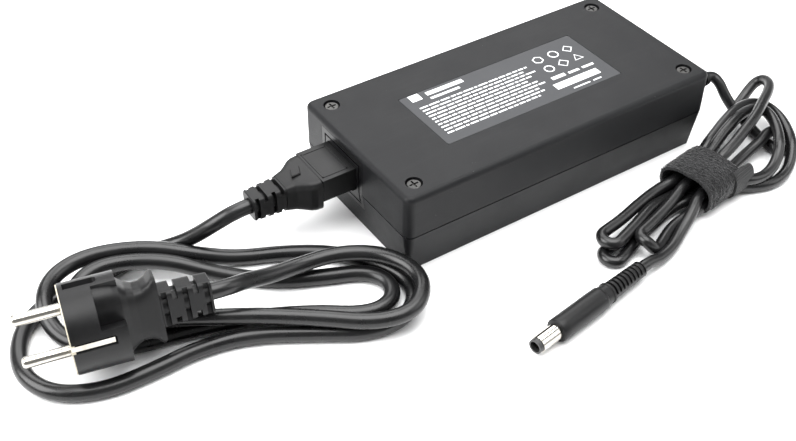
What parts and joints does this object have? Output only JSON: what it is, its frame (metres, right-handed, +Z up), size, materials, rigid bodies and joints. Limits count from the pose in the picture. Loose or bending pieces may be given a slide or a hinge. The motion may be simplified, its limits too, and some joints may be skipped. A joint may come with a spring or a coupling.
{
  "type": "laptop power adapter",
  "caption": "Flat rectangular power adapter with a mains inlet, a plugged-in mains lead and an output lead wound and tied, ending in a barrel plug.",
  "frame": {"origin": "on the floor under the middle of the case", "axes": "+X along the case from the mains inlet to the output lead, +Y across it away from the wound output lead, +Z up through the label"},
  "size_m": [0.3986, 0.1571, 0.0445],
  "materials": {
    "case_plastic": "fine moulded texture, black",
    "screw_steel": "passivated steel",
    "label_film": "printed film",
    "inlet_plastic": "moulded nylon",
    "plated_contact": "nickel plated",
    "circuit_board": "glass epoxy board",
    "insulating_sheet": "fish paper",
    "shield_metal": "rolled sheet",
    "lead_rubber": "insulated wire",
    "fuse_sleeve": "heat shrink sleeve",
    "ferrite": "sintered ferrite",
    "winding": "enamelled copper",
    "film_capacitor": "moulded box",
    "disc_capacitor": "dipped coating",
    "silicon_package": "moulded epoxy",
    "capacitor_can": "sleeved can",
    "heatsink": "extruded plate",
    "cord_rubber": "satin cord sheath",
    "hook_and_loop": "woven hook and loop",
    "plug_plastic": "moulded overmould",
    "face_plastic": "pale moulded carrier",
    "tip_plastic": "moulded ring"
  },
  "bodies": {
    "adapter": {"top_shell": "case_plastic", "bottom_shell": "case_plastic", "case_screws": "screw_steel", "rating_label": "label_film", "inlet_housing": "inlet_plastic", "inlet_line_pin": "plated_contact", "inlet_neutral_pin": "plated_contact", "inlet_earth_pin": "plated_contact", "main_board": "circuit_board", "lower_insulator": "insulating_sheet", "upper_insulator": "insulating_sheet", "heat_shield": "shield_metal", "input_leads": "lead_rubber", "fuse": "fuse_sleeve", "filter_choke_core": "ferrite", "filter_choke_winding": "winding", "x_capacitor": "film_capacitor", "y_capacitors": "disc_capacitor", "bridge_rectifier": "silicon_package", "pfc_choke_core": "ferrite", "pfc_choke_winding": "winding", "bulk_capacitor": "capacitor_can", "primary_heatsink": "heatsink", "switching_transistors": "silicon_package", "controller_board": "circuit_board", "transformer_core": "ferrite", "transformer_winding": "winding", "output_heatsink": "heatsink", "output_rectifiers": "silicon_package", "output_capacitors": "capacitor_can", "output_ferrite": "ferrite", "output_leads": "lead_rubber", "output_bushing": "plug_plastic", "dc_exit_cord": "cord_rubber", "dc_hank": "cord_rubber", "dc_tail_cord": "cord_rubber", "cable_tie": "hook_and_loop", "cable_tie_tab": "hook_and_loop", "dc_plug_boot": "plug_plastic", "dc_plug_grip": "plug_plastic", "dc_plug_barrel": "plated_contact", "dc_plug_tip": "tip_plastic", "dc_plug_center_pin": "plated_contact"},
    "mains_lead": {"c13_insert": "plug_plastic", "c13_contacts": "plated_contact", "c13_grip": "plug_plastic", "mains_cord": "cord_rubber", "wall_plug_body": "plug_plastic", "wall_plug_face": "face_plastic", "wall_plug_pin_upper": "plated_contact", "wall_plug_pin_lower": "plated_contact", "wall_plug_earth_clips": "plated_contact"}
  },
  "joints": [
    {"name": "mains_connector_slide", "type": "slide", "parent": "adapter", "child": "mains_lead", "axis": [-1, 0, 0], "range_m": [0, 0.024]}
  ]
}
